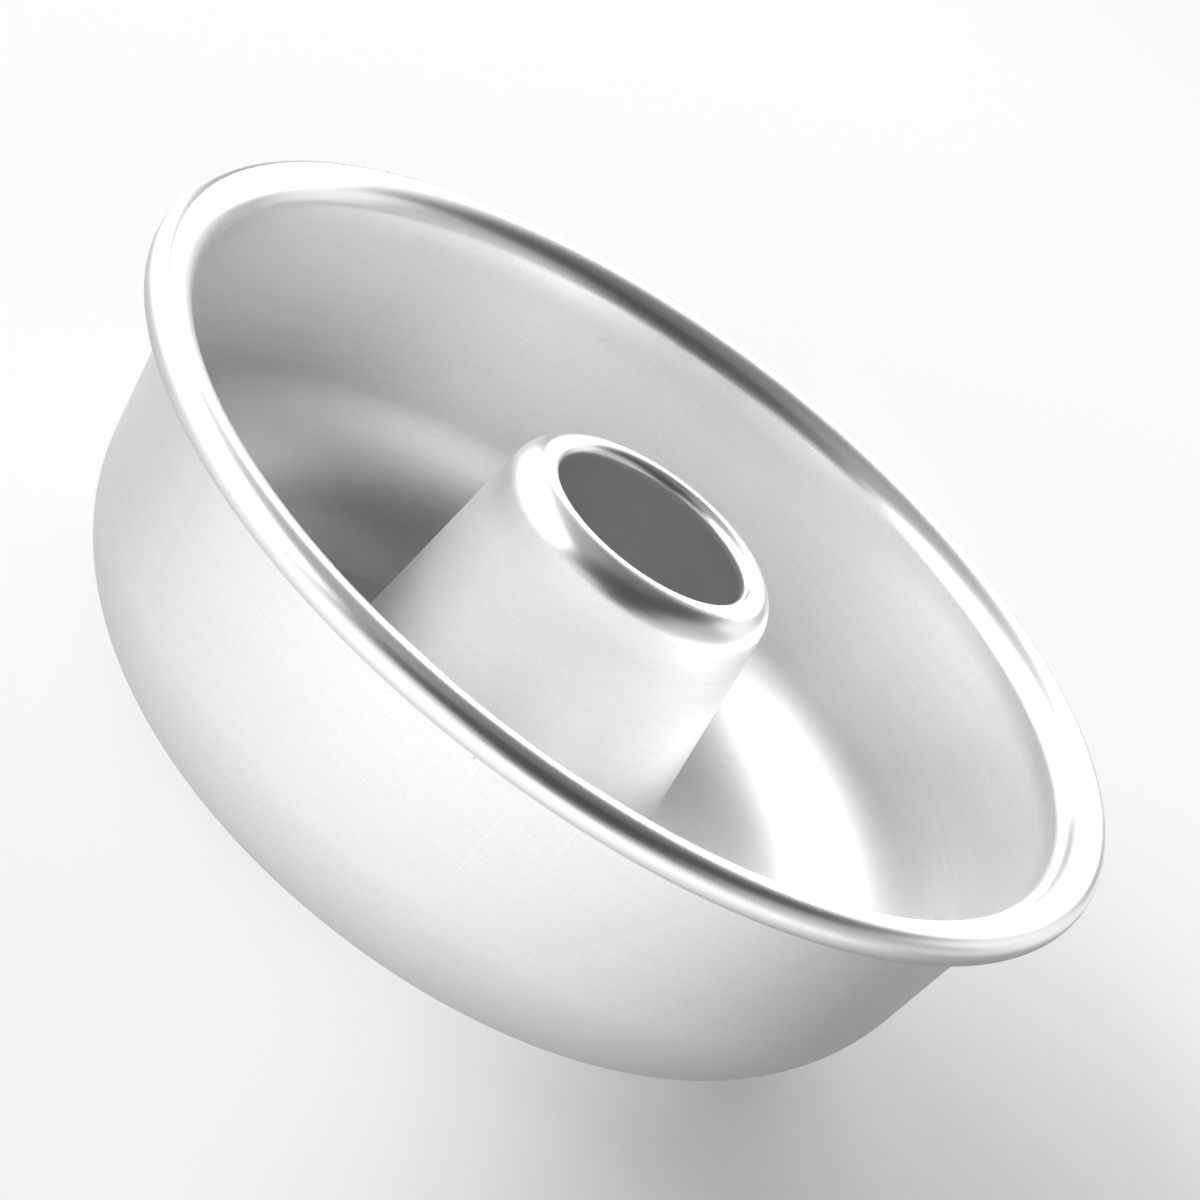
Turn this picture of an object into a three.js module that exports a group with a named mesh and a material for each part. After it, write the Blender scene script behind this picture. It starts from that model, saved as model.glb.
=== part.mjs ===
// Round tube cake pan with a lift-out base, in millimetres, +Z up.
// The origin is on the pan's axis, in the plane that the pan stands on.
// Every piece is sheet metal turned about the axis: a deep shell with a curled rim and a seat turned
// in at its floor, a loose base plate on that seat, and a cone-shaped centre tube fixed to the plate.
import * as THREE from 'three';

// Sheet thicknesses
const SHELL_SHEET = 1.2;
const PLATE_SHEET = 1.2;
const TUBE_SHEET = 1.2;

// Shell: rim, wall and corner
const RIM_OUTER_RADIUS = 110;
const RIM_TOP_HEIGHT = 72.3;
const BEAD_RADIUS = 3.7;
const CURL_TURN = 250;
const FLARE_RADIUS = 6.6;
const WALL_ANGLE = 8.8;
const CORNER_RADIUS = 34;

// Base plate and its seat in the shell's floor
const PLATE_OVERHANG = 2.3;
const SEAT_WIDTH = 6.8;
const SEAT_CLEARANCE = 0.3;
const COLLAR_LENGTH = 5;

// Centre tube
const TUBE_TOP_HEIGHT = 74;
const TUBE_ANGLE = 6.5;
const HOLE_RADIUS = 21.4;
const LIP_RADIUS = 2.3;
const LIP_DROP = 0.8;
const CROWN_RADIUS = 4.5;
const SHOULDER_RADIUS = 8;
const SHOULDER_END = 54;
const FOOT_BEND = 2.5;
const FOOT_WIDTH = 3.5;
const COLLAR_CLEARANCE = 0.3;

// Fineness of the facets
const CHORD_ERROR = 0.08;
const TURN_STEPS = 64;

const degrees = THREE.MathUtils.degToRad;

// Directions in the half section: x is the radius from the axis, y the height.
function along(angle, length) {
  return new THREE.Vector2(Math.cos(degrees(angle)), Math.sin(degrees(angle))).multiplyScalar(length);
}

// A square end of the sheet at a point of its middle line, met while travelling along heading.
// The offset is how far a face lies to the right of the middle line.
function sheetEnd(point, heading) {
  return (offset) => [along(heading - 90, offset).add(point)];
}

// A bend of the middle line about a centre, between two angles, seen as points on one face.
function bend(centre, radius, from, to) {
  const turn = Math.sign(to - from);
  return (offset) => {
    const faceRadius = radius + turn * offset;
    const widestStep = 2 * THREE.MathUtils.radToDeg(Math.acos(1 - Math.min(1, CHORD_ERROR / radius)));
    const steps = Math.ceil(Math.abs(to - from) / widestStep);
    const points = [];
    for (let i = 0; i <= steps; i += 1) {
      const angle = THREE.MathUtils.lerp(from, to, i / steps);
      points.push(along(angle, faceRadius).add(centre));
    }
    return points;
  };
}

// The closed outline of a sheet whose middle line runs through ends and bends in order.
function sheetSection(runs, thickness) {
  const right = runs.flatMap((run) => run(thickness / 2));
  const left = runs.flatMap((run) => run(-thickness / 2));
  const outline = [...right, ...left.reverse()];
  const distinct = outline.filter((point, i) => i === 0 || point.distanceTo(outline[i - 1]) > 1e-6);
  return [...distinct, distinct[0].clone()];
}

// A sheet section turned about the pan's axis.
function turnedPiece(name, runs, thickness, material) {
  const geometry = new THREE.LatheGeometry(sheetSection(runs, thickness), TURN_STEPS);
  geometry.rotateX(Math.PI / 2);
  const piece = new THREE.Mesh(geometry, material);
  piece.name = name;
  return piece;
}

// Centres and middle-line radii of the shell's bends. The flare and the bead share the rim's top,
// and the straight wall is tangent to the flare and to the corner.
const beadCentre = new THREE.Vector2(RIM_OUTER_RADIUS - BEAD_RADIUS, RIM_TOP_HEIGHT - BEAD_RADIUS);
const flareCentre = new THREE.Vector2(beadCentre.x, RIM_TOP_HEIGHT - FLARE_RADIUS);
const flareMiddle = FLARE_RADIUS - SHELL_SHEET / 2;
const cornerMiddle = CORNER_RADIUS - SHELL_SHEET / 2;
const wallTop = along(180 - WALL_ANGLE, flareMiddle).add(flareCentre);
const cornerToWall = along(-WALL_ANGLE, cornerMiddle);
const wallFootHeight = CORNER_RADIUS + cornerToWall.y;
const wallFootRadius = wallTop.x - (wallTop.y - wallFootHeight) * Math.tan(degrees(WALL_ANGLE));
const cornerCentre = new THREE.Vector2(wallFootRadius - cornerToWall.x, CORNER_RADIUS);

// The base plate reaches just past the flat of the floor, and the seat lies under its edge.
const plateRadius = cornerCentre.x + PLATE_OVERHANG;
const floorOpeningRadius = plateRadius - SEAT_WIDTH;
const plateMiddleHeight = SHELL_SHEET + SEAT_CLEARANCE + PLATE_SHEET / 2;
const plateTopHeight = plateMiddleHeight + PLATE_SHEET / 2;

// The tube's lip stands round the hole and shares its top with the crown, the shoulder is tangent
// to the crown and to the cone, and the foot bend at the plate is tangent to the cone.
const lipCentre = new THREE.Vector2(HOLE_RADIUS + LIP_RADIUS, TUBE_TOP_HEIGHT - LIP_RADIUS);
const crownCentre = new THREE.Vector2(lipCentre.x, TUBE_TOP_HEIGHT - CROWN_RADIUS);
const shoulderCentre = crownCentre.clone().sub(along(SHOULDER_END, SHOULDER_RADIUS - CROWN_RADIUS));
const coneTop = along(TUBE_ANGLE, SHOULDER_RADIUS - TUBE_SHEET / 2).add(shoulderCentre);
const footMiddle = FOOT_BEND + TUBE_SHEET / 2;
const footCentreHeight = plateTopHeight + COLLAR_CLEARANCE + TUBE_SHEET + FOOT_BEND;
const footToCone = along(TUBE_ANGLE - 180, footMiddle);
const coneFootHeight = footCentreHeight + footToCone.y;
const coneFootRadius = coneTop.x + (coneTop.y - coneFootHeight) * Math.tan(degrees(TUBE_ANGLE));
const footCentre = new THREE.Vector2(coneFootRadius - footToCone.x, footCentreHeight);

function satinAluminium(colour, roughness) {
  return new THREE.MeshStandardMaterial({ color: colour, roughness, metalness: 1 });
}

// Shell: seat edge, floor corner, wall, flare and the rim curled outwards.
function outerShell() {
  const seatEdge = new THREE.Vector2(floorOpeningRadius, SHELL_SHEET / 2);
  const runs = [
    sheetEnd(seatEdge, 0),
    bend(cornerCentre, cornerMiddle, -90, -WALL_ANGLE),
    bend(flareCentre, flareMiddle, 180 - WALL_ANGLE, 90),
    bend(beadCentre, BEAD_RADIUS - SHELL_SHEET / 2, 90, 90 - CURL_TURN),
  ];
  return turnedPiece('outer_shell', runs, SHELL_SHEET, satinAluminium('#d6d7d8', 0.34));
}

// Base plate: a flat disc whose centre hole is turned up as a collar inside the tube.
function basePlate() {
  const collarMiddle = FOOT_BEND + TUBE_SHEET + COLLAR_CLEARANCE + PLATE_SHEET / 2;
  const collarFoot = along(TUBE_ANGLE - 180, collarMiddle).add(footCentre);
  const collarTop = along(TUBE_ANGLE + 90, COLLAR_LENGTH).add(collarFoot);
  const runs = [
    sheetEnd(new THREE.Vector2(plateRadius, plateMiddleHeight), 180),
    bend(footCentre, collarMiddle, -90, TUBE_ANGLE - 180),
    sheetEnd(collarTop, TUBE_ANGLE + 90),
  ];
  return turnedPiece('base_plate', runs, PLATE_SHEET, satinAluminium('#cfd0d1', 0.38));
}

// Centre tube: foot flange on the plate, cone, rounded shoulder and crown, and a lip turned down into
// the hole.
function centreTube() {
  const footEdge = new THREE.Vector2(footCentre.x + FOOT_WIDTH, footCentre.y - footMiddle);
  const lipEdge = new THREE.Vector2(HOLE_RADIUS + TUBE_SHEET / 2, lipCentre.y - LIP_DROP);
  const runs = [
    sheetEnd(footEdge, 180),
    bend(footCentre, footMiddle, -90, TUBE_ANGLE - 180),
    bend(shoulderCentre, SHOULDER_RADIUS - TUBE_SHEET / 2, TUBE_ANGLE, SHOULDER_END),
    bend(crownCentre, CROWN_RADIUS - TUBE_SHEET / 2, SHOULDER_END, 90),
    bend(lipCentre, LIP_RADIUS - TUBE_SHEET / 2, 90, 180),
    sheetEnd(lipEdge, -90),
  ];
  return turnedPiece('centre_tube', runs, TUBE_SHEET, satinAluminium('#d9dadb', 0.32));
}

const cakePan = new THREE.Group();
cakePan.add(outerShell());
const liftOutBase = new THREE.Group();
liftOutBase.add(basePlate(), centreTube());
cakePan.add(liftOutBase);

export default cakePan;
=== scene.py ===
import math

import bpy
from bpy.props import FloatProperty, FloatVectorProperty, IntProperty, PointerProperty
from mathutils import Matrix, Vector


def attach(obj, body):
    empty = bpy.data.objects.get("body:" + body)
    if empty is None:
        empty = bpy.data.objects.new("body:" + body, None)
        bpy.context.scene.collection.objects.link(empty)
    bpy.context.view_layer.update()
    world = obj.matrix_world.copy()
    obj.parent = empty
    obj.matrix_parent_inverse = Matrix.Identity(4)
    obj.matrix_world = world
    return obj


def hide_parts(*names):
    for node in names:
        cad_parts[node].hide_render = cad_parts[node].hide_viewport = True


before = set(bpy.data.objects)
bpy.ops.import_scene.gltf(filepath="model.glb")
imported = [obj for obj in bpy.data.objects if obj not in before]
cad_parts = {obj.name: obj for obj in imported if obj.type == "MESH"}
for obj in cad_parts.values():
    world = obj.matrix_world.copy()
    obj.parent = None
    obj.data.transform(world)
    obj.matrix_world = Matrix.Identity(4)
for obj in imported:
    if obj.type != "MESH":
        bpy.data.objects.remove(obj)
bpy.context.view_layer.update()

bl_info = {
    "name": "Tube Cake Pan",
    "version": (1, 0, 0),
    "blender": (4, 5, 0),
    "location": "3D View > Sidebar > Cake Pan",
    "description": "Builds a satin aluminium tube cake pan with a lift-out base, piece by piece",
    "category": "Add Mesh",
}

MM = 0.001


# Sizes and finishes that a user may change

def length(name, text, millimetres):
    """A size in the add-on's panel, given in millimetres and kept in metres."""
    return FloatProperty(name=name, description=text, default=millimetres * MM, min=0.0,
                         unit="LENGTH", precision=5)


def turn(name, text, degrees):
    """An angle in the add-on's panel, given in degrees and kept in radians."""
    return FloatProperty(name=name, description=text, default=math.radians(degrees), unit="ROTATION")


def share(name, text, value):
    """A value from 0 to 1 in the add-on's panel."""
    return FloatProperty(name=name, description=text, default=value, min=0.0, max=1.0, subtype="FACTOR")


def colour(name, text, value):
    """A linear colour in the add-on's panel."""
    return FloatVectorProperty(name=name, description=text, default=value, size=3, min=0.0, max=1.0,
                               subtype="COLOR")


class ShellSizes(bpy.types.PropertyGroup):
    """Sizes of the drawn outer shell."""
    sheet: length("Sheet", "Thickness of the shell's sheet", 1.2)
    rim_radius: length("Rim radius", "Outside of the curled rim", 110.0)
    rim_top: length("Rim top", "Height of the rim's top", 72.3)
    bead_radius: length("Bead radius", "Outside radius of the curled rim's bead", 3.7)
    curl_turn: turn("Curl turn", "How far the rim's sheet is curled round", 250.0)
    flare_radius: length("Flare radius", "Bend from the wall out to the rim, on its inside", 6.6)
    wall_angle: turn("Wall angle", "Lean of the wall from upright", 8.8)
    corner_radius: length("Corner radius", "Outside radius between floor and wall", 34.0)
    seat_width: length("Seat width", "Width of the floor's seat under the base plate", 6.8)


class BaseSizes(bpy.types.PropertyGroup):
    """Sizes of the lift-out base: plate and centre tube."""
    plate_sheet: length("Plate sheet", "Thickness of the base plate", 1.2)
    plate_overhang: length("Plate overhang", "Reach of the plate past the flat of the floor", 2.3)
    seat_clearance: length("Seat clearance", "Gap between the seat and the plate", 0.3)
    collar_length: length("Collar length", "Straight part of the plate's collar in the tube", 5.0)
    collar_clearance: length("Collar clearance", "Gap between the plate's collar and the tube", 0.3)
    tube_sheet: length("Tube sheet", "Thickness of the tube's sheet", 1.2)
    tube_top: length("Tube top", "Height of the tube's lip", 74.0)
    tube_angle: turn("Tube angle", "Lean of the tube's cone from upright", 6.5)
    hole_radius: length("Hole radius", "Radius of the tube's open hole", 21.4)
    lip_radius: length("Lip radius", "Outside radius of the lip's bend down into the hole", 2.3)
    crown_radius: length("Crown radius", "Outside radius between shoulder and lip", 4.5)
    lip_drop: length("Lip drop", "Straight part of the lip, turned down into the hole", 0.8)
    shoulder_radius: length("Shoulder radius", "Outside radius between cone and crown", 8.0)
    shoulder_end: turn("Shoulder end", "Where the shoulder meets the crown, from level", 54.0)
    foot_bend: length("Foot bend", "Outside radius between cone and foot flange", 2.5)
    foot_width: length("Foot width", "Flat part of the foot flange", 3.5)


class FinishLooks(bpy.types.PropertyGroup):
    """Colours and gloss of the satin aluminium."""
    shell_colour: colour("Shell colour", "Satin aluminium of the shell", (0.9, 0.9, 0.9))
    plate_colour: colour("Plate colour", "Satin aluminium of the base plate", (0.88, 0.88, 0.88))
    tube_colour: colour("Tube colour", "Satin aluminium of the tube", (0.93, 0.93, 0.93))
    shell_roughness: share("Shell roughness", "Roughness of the shell's satin", 0.44)
    plate_roughness: share("Plate roughness", "Roughness of the base plate's satin", 0.34)
    tube_roughness: share("Tube roughness", "Roughness of the tube's satin", 0.42)
    edge_roughness: share("Edge roughness", "Roughness of the burnished rim and lip", 0.33)
    rim_polish: length("Rim polish", "Height above which the shell is burnished", 61.0)
    lip_polish: length("Lip polish", "Height above which the tube is burnished", 60.0)


class StageLooks(bpy.types.PropertyGroup):
    """The table, the lamps and the camera."""
    floor_colour: colour("Floor colour", "White table under the pan", (0.9, 0.9, 0.9))
    room_colour: colour("Room colour", "Dim room round the table", (0.045, 0.045, 0.045))
    lens: FloatProperty(name="Lens", description="Focal length on a 36 mm frame, in millimetres",
                        default=139.03, min=1.0)
    steps_round: IntProperty(name="Steps round", description="Facets round each turned piece",
                             default=256, min=16)


class CakePanSettings(bpy.types.PropertyGroup):
    """Everything that the cake pan's panel shows."""
    shell: PointerProperty(type=ShellSizes, name="Shell", description="Outer shell")
    base: PointerProperty(type=BaseSizes, name="Base", description="Lift-out base")
    finish: PointerProperty(type=FinishLooks, name="Finish", description="Satin aluminium")
    stage: PointerProperty(type=StageLooks, name="Stage", description="Table, lamps and camera")


# Sheet sections: x is the radius from the pan's axis, y the height

CHORD_ERROR = 0.01 * MM
EDGE_ROUNDING = 0.3 * MM
EDGE_STEPS = 4
SAME_POINT = 1e-7


def polar(angle, radius):
    """A step of one length in one direction of the half section."""
    return Vector((math.cos(angle), math.sin(angle))) * radius


def bend(centre, radius, start, stop):
    """A bend of the sheet's middle line: points and normals of the face at an offset to its right."""
    way = 1.0 if stop > start else -1.0

    def face(offset):
        widest = 2.0 * math.acos(1.0 - min(1.0, CHORD_ERROR / radius))
        steps = math.ceil(abs(stop - start) / widest)
        side = way if offset > 0.0 else -way
        angles = [start + (stop - start) * i / steps for i in range(steps + 1)]
        return [(centre + polar(a, radius + way * offset), polar(a, side)) for a in angles]

    return face


def sheet_edge(point, heading, first):
    """A cut edge of the sheet with broken corners, at the first or the last end of its middle line."""
    inward = 1.0 if first else -1.0

    def face(offset):
        side = 1.0 if offset > 0.0 else -1.0
        across = polar(heading - math.pi / 2, side)
        corner = point + polar(heading, inward * EDGE_ROUNDING) + across * (abs(offset) - EDGE_ROUNDING)
        out = polar(heading, -inward)
        points = []
        for i in range(EDGE_STEPS + 1):
            a = math.pi / 2 * i / EDGE_STEPS
            normal = out * math.cos(a) + across * math.sin(a)
            points.append((corner + normal * EDGE_ROUNDING, normal))
        return points if first else points[::-1]

    return face


def sheet_section(runs, sheet):
    """The closed outline of a sheet, as points with their normals, anticlockwise."""
    right = [p for run in runs for p in run(sheet / 2)]
    left = [p for run in runs for p in run(-sheet / 2)]
    outline = []
    for point, normal in right + left[::-1]:
        if not outline or (point - outline[-1][0]).length > SAME_POINT:
            outline.append((point, normal))
    return outline


def turned_piece(name, outline, steps):
    """A mesh of a sheet section turned about the pan's axis, shaded with the section's own normals."""
    turns = [2.0 * math.pi * j / steps for j in range(steps)]
    rays = [(math.cos(a), math.sin(a)) for a in turns]
    corners = [(p.x * c, p.x * s, p.y) for p, n in outline for c, s in rays]
    normals = [(n.x * c, n.x * s, n.y) for p, n in outline for c, s in rays]
    faces = []
    for i in range(len(outline)):
        above = (i + 1) % len(outline)
        for j in range(steps):
            beside = (j + 1) % steps
            faces.append((i * steps + j, i * steps + beside, above * steps + beside, above * steps + j))
    mesh = bpy.data.meshes.new(name)
    mesh.from_pydata(corners, [], faces)
    mesh.validate()
    mesh.shade_smooth()
    mesh.normals_split_custom_set_from_vertices(normals)
    piece = bpy.data.objects.new(name, mesh)
    bpy.context.scene.collection.objects.link(piece)
    return piece


class ShellLayout:
    """Centres of the shell's bends, and where its floor is flat."""

    def __init__(self, sizes):
        self.bead = Vector((sizes.rim_radius - sizes.bead_radius, sizes.rim_top - sizes.bead_radius))
        self.flare = Vector((self.bead.x, sizes.rim_top - sizes.flare_radius))
        self.flare_middle = sizes.flare_radius - sizes.sheet / 2
        self.corner_middle = sizes.corner_radius - sizes.sheet / 2
        wall_top = self.flare + polar(math.pi - sizes.wall_angle, self.flare_middle)
        to_wall = polar(-sizes.wall_angle, self.corner_middle)
        wall_height = wall_top.y - sizes.corner_radius - to_wall.y
        wall_foot = wall_top.x - wall_height * math.tan(sizes.wall_angle)
        self.corner = Vector((wall_foot - to_wall.x, sizes.corner_radius))


class BaseLayout:
    """Radii and heights of the base plate, and centres of the tube's bends."""

    def __init__(self, shell, sizes):
        self.plate_radius = ShellLayout(shell).corner.x + sizes.plate_overhang
        self.seat_edge = self.plate_radius - shell.seat_width
        self.plate_middle = shell.sheet + sizes.seat_clearance + sizes.plate_sheet / 2
        plate_top = self.plate_middle + sizes.plate_sheet / 2
        self.lip = Vector((sizes.hole_radius + sizes.lip_radius, sizes.tube_top - sizes.lip_radius))
        self.crown = Vector((self.lip.x, sizes.tube_top - sizes.crown_radius))
        self.shoulder = self.crown - polar(sizes.shoulder_end, sizes.shoulder_radius - sizes.crown_radius)
        self.lip_middle = sizes.lip_radius - sizes.tube_sheet / 2
        self.crown_middle = sizes.crown_radius - sizes.tube_sheet / 2
        self.shoulder_middle = sizes.shoulder_radius - sizes.tube_sheet / 2
        self.foot_middle = sizes.foot_bend + sizes.tube_sheet / 2
        self.collar_middle = (sizes.foot_bend + sizes.tube_sheet + sizes.collar_clearance
                              + sizes.plate_sheet / 2)
        cone_top = self.shoulder + polar(sizes.tube_angle, self.shoulder_middle)
        to_cone = polar(sizes.tube_angle - math.pi, self.foot_middle)
        foot_height = plate_top + sizes.collar_clearance + sizes.tube_sheet + sizes.foot_bend
        cone_foot = cone_top.x + (cone_top.y - foot_height - to_cone.y) * math.tan(sizes.tube_angle)
        self.foot = Vector((cone_foot - to_cone.x, foot_height))


# Shared surface effects

# Spun lines: how often they change round the axis
STREAKS_ROUND = 5.0

# Burnished edge: height in millimetres over which it begins
POLISH_FADE = 6.0

# Scratches: noise scales round the axis, up the sheet and of the patches, and where each noise shows
SCRATCHES_ROUND = 260.0
SCRATCHES_UP = 40.0
SCRATCH_PATCHES = 32.0
SCRATCH_LEVELS = (0.66, 0.74)
PATCH_LEVELS = (0.5, 0.62)

# Handling marks: noise scales, where each noise shows, and the share of cells that stay free of specks
SMUDGES = 24.0
SMEARS = 240.0
SMEAR_PLACES = 38.0
SMEAR_LEVELS = (0.6, 0.7)
PLACE_LEVELS = (0.68, 0.76)
SPECK_CELLS = 90.0
SPECK_FREE = 0.965

# How much each effect adds to the sheet's tone, to its roughness and to its relief. A bare sheet's tone
# is a share of its colour, and its roughness is counted from the piece's own.
BARE_TONE = 0.83
TONE = {"rings": 0.1, "grain": 0.2, "smudge": 0.04, "scratches": 0.07, "smears": -0.06, "specks": -0.18}
BARE_GLOSS = -0.08
GLOSS = {"smudge": 0.06, "rings": 0.04, "grain": 0.06, "smears": 0.06, "specks": 0.2}
RELIEF = {"grain": 0.45, "scratches": -0.6}
RELIEF_STRENGTH = 0.5
RELIEF_DEPTH = 0.02 * MM
GRAINS_PER_MM = 3.0
SPECK_SIZE = 0.4

# Marks of each piece: spun lines to the millimetre, their depth, and how strong its scratches are
SHELL_MARKS = {"lines_per_mm": 1.6, "line_depth": 0.6, "scratches": 0.8}
PLATE_MARKS = {"lines_per_mm": 2.2, "line_depth": 1.0, "scratches": 0.2}
TUBE_MARKS = {"lines_per_mm": 1.6, "line_depth": 0.5, "scratches": 0.4}

NEAR_AXIS = 1e-4


class Nodes:
    """Short calls for adding and linking nodes in one tree."""

    def __init__(self, tree):
        self.tree = tree

    def add(self, kind, **values):
        node = self.tree.nodes.new(kind)
        for key, value in values.items():
            setattr(node, key, value)
        return node

    def link(self, source, target):
        self.tree.links.new(source, target)

    def feed(self, socket, value):
        """Links a socket to another socket, or sets it to a plain value."""
        if isinstance(value, bpy.types.NodeSocket):
            self.link(value, socket)
        else:
            socket.default_value = value

    def math(self, operation, first, second=0.0):
        node = self.add("ShaderNodeMath", operation=operation)
        self.feed(node.inputs[0], first)
        self.feed(node.inputs[1], second)
        return node.outputs[0]

    def remap(self, value, low, high, to_low=0.0, to_high=1.0):
        node = self.add("ShaderNodeMapRange", interpolation_type="SMOOTHSTEP")
        for socket, number in zip(node.inputs, (value, low, high, to_low, to_high)):
            self.feed(socket, number)
        return node.outputs["Result"]

    def combine(self, x, y, z):
        node = self.add("ShaderNodeCombineXYZ")
        for socket, number in zip(node.inputs, (x, y, z)):
            self.feed(socket, number)
        return node.outputs[0]

    def noise(self, vector, scale, detail, roughness, fourth=None):
        node = self.add("ShaderNodeTexNoise", noise_dimensions="3D" if fourth is None else "4D")
        self.feed(node.inputs["Vector"], vector)
        if fourth is not None:
            self.feed(node.inputs["W"], fourth)
        self.feed(node.inputs["Scale"], scale)
        node.inputs["Detail"].default_value = detail
        node.inputs["Roughness"].default_value = roughness
        return node.outputs["Fac"]

    def piece_place(self):
        """Where a point is in the piece's own coordinates."""
        return self.add("ShaderNodeTexCoord").outputs["Object"]

    def section_place(self):
        """Radius, height and the direction round the axis, from the piece's own coordinates."""
        split = self.add("ShaderNodeSeparateXYZ")
        self.link(self.piece_place(), split.inputs[0])
        x, y, height = split.outputs
        square = self.math("ADD", self.math("MULTIPLY", x, x), self.math("MULTIPLY", y, y))
        radius = self.math("SQRT", square)
        safe = self.math("MAXIMUM", radius, NEAR_AXIS)
        return radius, height, self.math("DIVIDE", x, safe), self.math("DIVIDE", y, safe)


def effect_group(name, inputs, outputs):
    """A new shader group with float sockets; inputs are name and default."""
    tree = bpy.data.node_groups.new(name, "ShaderNodeTree")
    for socket, default in inputs:
        made = tree.interface.new_socket(socket, in_out="INPUT", socket_type="NodeSocketFloat")
        made.default_value = default
    for socket in outputs:
        tree.interface.new_socket(socket, in_out="OUTPUT", socket_type="NodeSocketFloat")
    nodes = Nodes(tree)
    return nodes, nodes.add("NodeGroupInput"), nodes.add("NodeGroupOutput")


def spun_lines_group():
    """Fine streaks left round the axis by spinning and polishing, as a height from 0 to 1."""
    nodes, given, out = effect_group("Spun Lines", [("Lines per mm", 2.0)], ["Height"])
    radius, height, cos, sin = nodes.section_place()
    scale = nodes.math("MULTIPLY", given.outputs["Lines per mm"], 1.0 / MM)
    vector = nodes.combine(nodes.math("MULTIPLY", radius, scale), nodes.math("MULTIPLY", height, scale),
                           nodes.math("MULTIPLY", cos, STREAKS_ROUND))
    swing = nodes.math("MULTIPLY", sin, STREAKS_ROUND)
    nodes.link(nodes.noise(vector, 1.0, detail=3.0, roughness=0.6, fourth=swing), out.inputs["Height"])
    return nodes.tree


def satin_grain_group():
    """The very fine even grain of a blasted and anodised sheet, as a height from 0 to 1."""
    nodes, given, out = effect_group("Satin Grain", [("Grains per mm", GRAINS_PER_MM)], ["Height"])
    scale = nodes.math("MULTIPLY", given.outputs["Grains per mm"], 1.0 / MM)
    grain = nodes.noise(nodes.piece_place(), scale, detail=2.0, roughness=0.6)
    nodes.link(grain, out.inputs["Height"])
    return nodes.tree


def burnished_edge_group():
    """The sheet above a height, polished by the rollers that formed its edge, as a mask."""
    nodes, given, out = effect_group("Burnished Edge", [("From mm", 60.0)], ["Mask"])
    height = nodes.section_place()[1]
    start = given.outputs["From mm"]
    mask = nodes.remap(nodes.math("DIVIDE", height, MM), start, nodes.math("ADD", start, POLISH_FADE))
    nodes.link(mask, out.inputs["Mask"])
    return nodes.tree


def straight_scratches_group():
    """Thin scratches that run up the sheet, in loose patches, as a mask."""
    nodes, given, out = effect_group("Straight Scratches", [("Amount", 0.5)], ["Mask"])
    height, cos, sin = nodes.section_place()[1:]
    vector = nodes.combine(nodes.math("MULTIPLY", cos, SCRATCHES_ROUND),
                           nodes.math("MULTIPLY", sin, SCRATCHES_ROUND),
                           nodes.math("MULTIPLY", height, SCRATCHES_UP))
    lines = nodes.remap(nodes.noise(vector, 1.0, detail=1.0, roughness=0.4), *SCRATCH_LEVELS)
    spots = nodes.noise(nodes.piece_place(), SCRATCH_PATCHES, detail=1.0, roughness=0.5)
    patches = nodes.remap(spots, *PATCH_LEVELS)
    mask = nodes.math("MULTIPLY", lines, patches)
    nodes.link(nodes.math("MULTIPLY", mask, given.outputs["Amount"]), out.inputs["Mask"])
    return nodes.tree


def handling_marks_group():
    """Broad uneven gloss from handling, a few dull smears and some tiny specks."""
    outputs = ["Smudge", "Smears", "Specks"]
    nodes, given, out = effect_group("Handling Marks", [("Speck size mm", SPECK_SIZE)], outputs)
    place = nodes.piece_place()
    nodes.link(nodes.noise(place, SMUDGES, detail=3.0, roughness=0.55), out.inputs["Smudge"])
    streaks = nodes.remap(nodes.noise(place, SMEARS, detail=2.0, roughness=0.55), *SMEAR_LEVELS)
    seldom = nodes.remap(nodes.noise(place, SMEAR_PLACES, detail=1.0, roughness=0.5), *PLACE_LEVELS)
    nodes.link(nodes.math("MULTIPLY", streaks, seldom), out.inputs["Smears"])
    cells = nodes.add("ShaderNodeTexVoronoi", feature="F1")
    nodes.link(place, cells.inputs["Vector"])
    cells.inputs["Scale"].default_value = SPECK_CELLS
    size = nodes.math("MULTIPLY", given.outputs["Speck size mm"], SPECK_CELLS * MM)
    dot = nodes.math("LESS_THAN", cells.outputs["Distance"], size)
    pick = nodes.add("ShaderNodeSeparateColor")
    nodes.link(cells.outputs["Color"], pick.inputs[0])
    rare = nodes.math("GREATER_THAN", pick.outputs[0], SPECK_FREE)
    nodes.link(nodes.math("MULTIPLY", dot, rare), out.inputs["Specks"])
    return nodes.tree


def shared_group(maker):
    """The group that a maker builds, made once and used again."""
    name = maker.__name__
    for tree in bpy.data.node_groups:
        if tree.get("maker") == name:
            return tree
    tree = maker()
    tree["maker"] = name
    return tree


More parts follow.
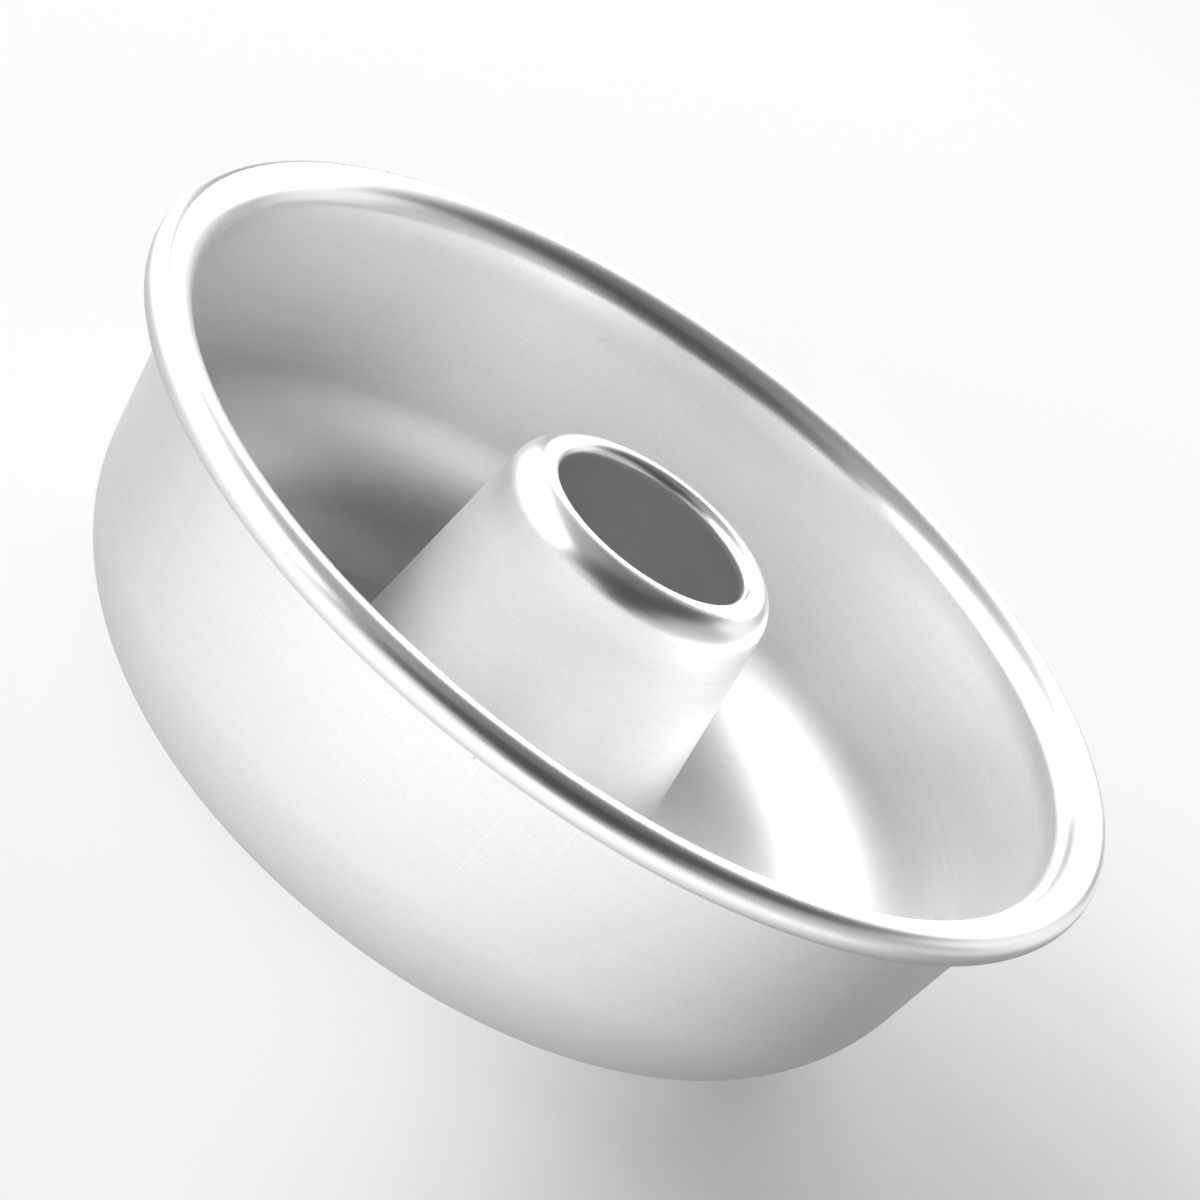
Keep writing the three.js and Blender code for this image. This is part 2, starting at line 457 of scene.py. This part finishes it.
def satin_aluminium(name, base, satin, lines_per_mm, line_depth, scratches, edge=None):
    """Satin aluminium: spun rings, fine grain, straight scratches, smudges and specks.

    The edge, where a piece has one, is the height above which it is burnished and its roughness there."""
    material = bpy.data.materials.new(name)
    material.use_nodes = True
    nodes = Nodes(material.node_tree)
    shader = material.node_tree.nodes["Principled BSDF"]
    shader.inputs["Metallic"].default_value = 1.0

    def effect(maker, key, value):
        node = nodes.add("ShaderNodeGroup", node_tree=shared_group(maker))
        node.inputs[key].default_value = value
        return node.outputs

    marks = effect(handling_marks_group, "Speck size mm", SPECK_SIZE)
    effects = {
        "rings": effect(spun_lines_group, "Lines per mm", lines_per_mm)["Height"],
        "grain": effect(satin_grain_group, "Grains per mm", GRAINS_PER_MM)["Height"],
        "scratches": effect(straight_scratches_group, "Amount", scratches)["Mask"],
        "smudge": marks["Smudge"],
        "smears": marks["Smears"],
        "specks": marks["Specks"],
    }
    gloss = dict(GLOSS)
    if edge is not None:
        polish_from, polished = edge
        effects["edge"] = effect(burnished_edge_group, "From mm", polish_from / MM)["Mask"]
        gloss["edge"] = polished - satin

    def mixed(total, shares):
        for key, amount in shares.items():
            total = nodes.math("ADD", total, nodes.math("MULTIPLY", effects[key], amount))
        return total

    paint = nodes.add("ShaderNodeVectorMath", operation="SCALE")
    paint.inputs[0].default_value = base
    nodes.link(mixed(BARE_TONE, TONE), paint.inputs["Scale"])
    nodes.link(paint.outputs[0], shader.inputs["Base Color"])
    nodes.link(mixed(satin + BARE_GLOSS, gloss), shader.inputs["Roughness"])

    bump = nodes.add("ShaderNodeBump")
    bump.inputs["Strength"].default_value = RELIEF_STRENGTH
    bump.inputs["Distance"].default_value = RELIEF_DEPTH
    nodes.link(mixed(0.0, {"rings": line_depth, **RELIEF}), bump.inputs["Height"])
    nodes.link(bump.outputs[0], shader.inputs["Normal"])
    return material


def dress(piece, material, node, body):
    """Gives a piece its finish, and puts it in place of a CAD node on its body."""
    piece.data.materials.append(material)
    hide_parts(node)
    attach(piece, body)


class CAKEPAN_OT_shell(bpy.types.Operator):
    """Make the outer shell: seat, corner, wall, flare and curled rim"""
    bl_idname = "cakepan.shell"
    bl_label = "Outer Shell"

    def execute(self, context):
        settings = context.scene.cake_pan
        sizes = settings.shell
        layout = ShellLayout(sizes)
        base = BaseLayout(sizes, settings.base)
        quarter = math.pi / 2
        runs = [
            sheet_edge(Vector((base.seat_edge, sizes.sheet / 2)), 0.0, True),
            bend(layout.corner, layout.corner_middle, -quarter, -sizes.wall_angle),
            bend(layout.flare, layout.flare_middle, math.pi - sizes.wall_angle, quarter),
            bend(layout.bead, sizes.bead_radius - sizes.sheet / 2, quarter, quarter - sizes.curl_turn),
        ]
        piece = turned_piece("shell_sheet", sheet_section(runs, sizes.sheet), settings.stage.steps_round)
        looks = settings.finish
        finish = satin_aluminium("Pan Satin Aluminium", looks.shell_colour, looks.shell_roughness,
                                 **SHELL_MARKS, edge=(looks.rim_polish, looks.edge_roughness))
        dress(piece, finish, "outer_shell", "shell")
        return {"FINISHED"}


class CAKEPAN_OT_plate(bpy.types.Operator):
    """Make the loose base plate with its turned-up collar"""
    bl_idname = "cakepan.plate"
    bl_label = "Base Plate"

    def execute(self, context):
        settings = context.scene.cake_pan
        sizes = settings.base
        layout = BaseLayout(settings.shell, sizes)
        lean = sizes.tube_angle
        collar_top = (layout.foot + polar(lean - math.pi, layout.collar_middle)
                      + polar(lean + math.pi / 2, sizes.collar_length))
        runs = [
            sheet_edge(Vector((layout.plate_radius, layout.plate_middle)), math.pi, True),
            bend(layout.foot, layout.collar_middle, -math.pi / 2, lean - math.pi),
            sheet_edge(collar_top, lean + math.pi / 2, False),
        ]
        piece = turned_piece("base_plate_sheet", sheet_section(runs, sizes.plate_sheet),
                             settings.stage.steps_round)
        looks = settings.finish
        finish = satin_aluminium("Plate Satin Aluminium", looks.plate_colour, looks.plate_roughness,
                                 **PLATE_MARKS)
        dress(piece, finish, "base_plate", "base")
        return {"FINISHED"}


class CAKEPAN_OT_tube(bpy.types.Operator):
    """Make the centre tube: foot flange, cone, shoulder and turned-in lip"""
    bl_idname = "cakepan.tube"
    bl_label = "Centre Tube"

    def execute(self, context):
        settings = context.scene.cake_pan
        sizes = settings.base
        layout = BaseLayout(settings.shell, sizes)
        foot_edge = Vector((layout.foot.x + sizes.foot_width, layout.foot.y - layout.foot_middle))
        lip_edge = Vector((sizes.hole_radius + sizes.tube_sheet / 2, layout.lip.y - sizes.lip_drop))
        runs = [
            sheet_edge(foot_edge, math.pi, True),
            bend(layout.foot, layout.foot_middle, -math.pi / 2, sizes.tube_angle - math.pi),
            bend(layout.shoulder, layout.shoulder_middle, sizes.tube_angle, sizes.shoulder_end),
            bend(layout.crown, layout.crown_middle, sizes.shoulder_end, math.pi / 2),
            bend(layout.lip, layout.lip_middle, math.pi / 2, math.pi),
            sheet_edge(lip_edge, -math.pi / 2, False),
        ]
        piece = turned_piece("centre_tube_sheet", sheet_section(runs, sizes.tube_sheet),
                             settings.stage.steps_round)
        looks = settings.finish
        finish = satin_aluminium("Tube Satin Aluminium", looks.tube_colour, looks.tube_roughness,
                                 **TUBE_MARKS, edge=(looks.lip_polish, looks.edge_roughness))
        dress(piece, finish, "centre_tube", "base")
        return {"FINISHED"}


# Table, lamps and camera

CAMERA_PLACE = (0.0, -0.8159, 0.4252)
CAMERA_RIGHT = (0.79148, 0.25274, 0.55648)
CAMERA_UP = (-0.61118, 0.32818, 0.72024)
FRAME_WIDTH = 36.0
LAMP_AIM = Vector((0.0, 0.0, 0.04))
TABLE_REACH = 12.0
TABLE_ROUGHNESS = 0.6

# How the table glows: to the eye, and as a painted reflection of lit and shaded table in front of, behind
# and beside the pan, and the share of that glow in reflections
EYE_GLOW = 0.94
FRONT_PAINTED_GLOW = 1.48
FRONT_FADE = (-0.2, 0.0)
BACK_PAINTED_GLOW = 0.92
BACK_FADE = (0.12, 0.3)
SIDE_GLOW = 0.18
MIRROR_SHARE = 0.6

# The share of plain white that hides the pan's shadow from the eye, left and right of the pan, and the
# distance over which the shadow fades
SHADOW_SIDE = (0.0, 0.1)
SHADOW_HIDDEN = (0.85, 0.1)
SHADOW_REACH = (0.13, 0.35)

# Lamps: bearing from the back towards the right and elevation in degrees, distance, width and height
# in metres, and radiance
LAMPS = {
    "left_low": (-80.0, 9.0, 1.0, 1.7, 0.32, 1.8),
    "left_front": (-102.0, 27.0, 1.0, 0.9, 0.5, 4.5),
    "left_back": (-60.0, 27.0, 1.0, 0.75, 0.46, 4.0),
    "left_high": (-80.0, 50.0, 1.0, 1.5, 0.36, 0.5),
    "back_low": (5.0, 10.0, 1.0, 0.95, 0.35, 0.15),
    "back_key": (5.0, 30.0, 1.0, 0.95, 0.36, 4.2),
    "back_high": (5.0, 50.0, 1.0, 0.95, 0.36, 0.5),
    "back_right": (52.0, 20.0, 1.0, 0.55, 0.7, 1.0),
    "right_low": (110.0, 10.0, 1.0, 1.8, 0.35, 0.64),
    "right_mid": (95.0, 30.0, 1.0, 1.2, 0.36, 0.45),
    "front_low": (-155.0, 10.0, 1.2, 1.0, 0.42, 0.75),
    "top_left": (-90.0, 72.0, 1.0, 1.2, 0.3, 0.25),
    "top": (0.0, 90.0, 1.0, 0.8, 0.8, 0.12),
}


def floor_material(settings):
    """A white table: plain white to the eye, with painted light and shade by place in reflections, and a
    soft shadow.
    """
    material = bpy.data.materials.new("White Table")
    material.use_nodes = True
    nodes = Nodes(material.node_tree)
    tree = material.node_tree
    shader = tree.nodes["Principled BSDF"]
    shader.inputs["Base Color"].default_value = (*settings.floor_colour, 1.0)
    shader.inputs["Roughness"].default_value = TABLE_ROUGHNESS

    spot = nodes.add("ShaderNodeNewGeometry").outputs["Position"]
    place = nodes.add("ShaderNodeSeparateXYZ")
    nodes.link(spot, place.inputs[0])
    away = nodes.add("ShaderNodeVectorMath", operation="LENGTH")
    nodes.link(spot, away.inputs[0])
    # Painted reflection: the table's glow in reflections is set by place, bright in front of and behind
    # the pan
    front = nodes.math("SUBTRACT", 1.0, nodes.remap(place.outputs["Y"], *FRONT_FADE))
    back = nodes.remap(place.outputs["Y"], *BACK_FADE)
    painted_place_glow = nodes.math("ADD", nodes.math("MULTIPLY", front, FRONT_PAINTED_GLOW),
                      nodes.math("MULTIPLY", back, BACK_PAINTED_GLOW))
    path = nodes.add("ShaderNodeLightPath")
    eye, mirror = path.outputs["Is Camera Ray"], path.outputs["Is Glossy Ray"]
    painted_reflection_glow = nodes.math("MULTIPLY", nodes.math("ADD", painted_place_glow, SIDE_GLOW), mirror)
    glow = nodes.add("ShaderNodeEmission")
    strength = nodes.math("ADD", nodes.math("MULTIPLY", eye, EYE_GLOW), painted_reflection_glow)
    nodes.link(strength, glow.inputs["Strength"])
    blend = nodes.add("ShaderNodeMixShader")
    beside = nodes.remap(place.outputs["X"], *SHADOW_SIDE, *SHADOW_HIDDEN)
    far = nodes.remap(away.outputs["Value"], *SHADOW_REACH, 0.0, SHADOW_HIDDEN[0])
    flat = nodes.math("MAXIMUM", beside, far)
    plain = nodes.math("ADD", nodes.math("MULTIPLY", eye, flat),
                       nodes.math("MULTIPLY", mirror, MIRROR_SHARE))
    nodes.link(plain, blend.inputs["Fac"])
    nodes.link(shader.outputs[0], blend.inputs[1])
    nodes.link(glow.outputs[0], blend.inputs[2])
    nodes.link(blend.outputs[0], tree.nodes["Material Output"].inputs["Surface"])
    return material


def softbox(name, bearing, elevation, distance, width, height, radiance):
    """A rectangular lamp that faces the pan. Bearing turns from the back towards the right."""
    data = bpy.data.lights.new(name, "AREA")
    data.shape = "RECTANGLE"
    data.size = width
    data.size_y = height
    data.energy = radiance * math.pi * width * height
    lamp = bpy.data.objects.new(name, data)
    b, e = math.radians(bearing), math.radians(elevation)
    out = Vector((math.sin(b) * math.cos(e), math.cos(b) * math.cos(e), math.sin(e)))
    lamp.location = LAMP_AIM + out * distance
    lamp.rotation_euler = out.to_track_quat("Z", "Y").to_euler()
    bpy.context.scene.collection.objects.link(lamp)


class CAKEPAN_OT_stage(bpy.types.Operator):
    """Make the white table, the soft lamps and the camera"""
    bl_idname = "cakepan.stage"
    bl_label = "Stage"

    def execute(self, context):
        scene = context.scene
        settings = scene.cake_pan.stage
        mesh = bpy.data.meshes.new("table")
        reach = TABLE_REACH
        corners = [(-reach, -reach, 0.0), (reach, -reach, 0.0), (reach, reach, 0.0), (-reach, reach, 0.0)]
        mesh.from_pydata(corners, [], [(0, 1, 2, 3)])
        table = bpy.data.objects.new("table", mesh)
        scene.collection.objects.link(table)
        mesh.materials.append(floor_material(settings))

        for name, values in LAMPS.items():
            softbox(name, *values)

        world = bpy.data.worlds.new("Dim Room")
        world.use_nodes = True
        world.node_tree.nodes["Background"].inputs["Color"].default_value = (*settings.room_colour, 1.0)
        scene.world = world

        data = bpy.data.cameras.new("camera")
        data.sensor_width = FRAME_WIDTH
        data.lens = settings.lens
        camera = bpy.data.objects.new("camera", data)
        right, up = Vector(CAMERA_RIGHT), Vector(CAMERA_UP)
        turned = Matrix((right, up, right.cross(up))).transposed()
        camera.matrix_world = Matrix.Translation(CAMERA_PLACE) @ turned.to_4x4()
        scene.collection.objects.link(camera)
        scene.camera = camera
        scene.view_settings.view_transform = "Standard"
        return {"FINISHED"}


class CAKEPAN_PT_panel(bpy.types.Panel):
    """The cake pan's sizes, finish and pieces"""
    bl_idname = "CAKEPAN_PT_panel"
    bl_label = "Cake Pan"
    bl_space_type = "VIEW_3D"
    bl_region_type = "UI"
    bl_category = "Cake Pan"

    def draw(self, context):
        settings = context.scene.cake_pan
        for group in (settings.shell, settings.base, settings.finish, settings.stage):
            box = self.layout.box()
            for key in group.__annotations__:
                box.prop(group, key)
        for operator in OPERATORS:
            self.layout.operator(operator.bl_idname)


SETTINGS = (ShellSizes, BaseSizes, FinishLooks, StageLooks, CakePanSettings)
OPERATORS = (CAKEPAN_OT_shell, CAKEPAN_OT_plate, CAKEPAN_OT_tube, CAKEPAN_OT_stage)
CLASSES = SETTINGS + OPERATORS + (CAKEPAN_PT_panel,)


def register():
    for item in CLASSES:
        bpy.utils.register_class(item)
    bpy.types.Scene.cake_pan = PointerProperty(type=CakePanSettings)


def unregister():
    del bpy.types.Scene.cake_pan
    for item in reversed(CLASSES):
        bpy.utils.unregister_class(item)


def main():
    register()
    bpy.ops.cakepan.shell()
    bpy.ops.cakepan.plate()
    bpy.ops.cakepan.tube()
    bpy.ops.cakepan.stage()


if __name__ == "__main__":
    main()
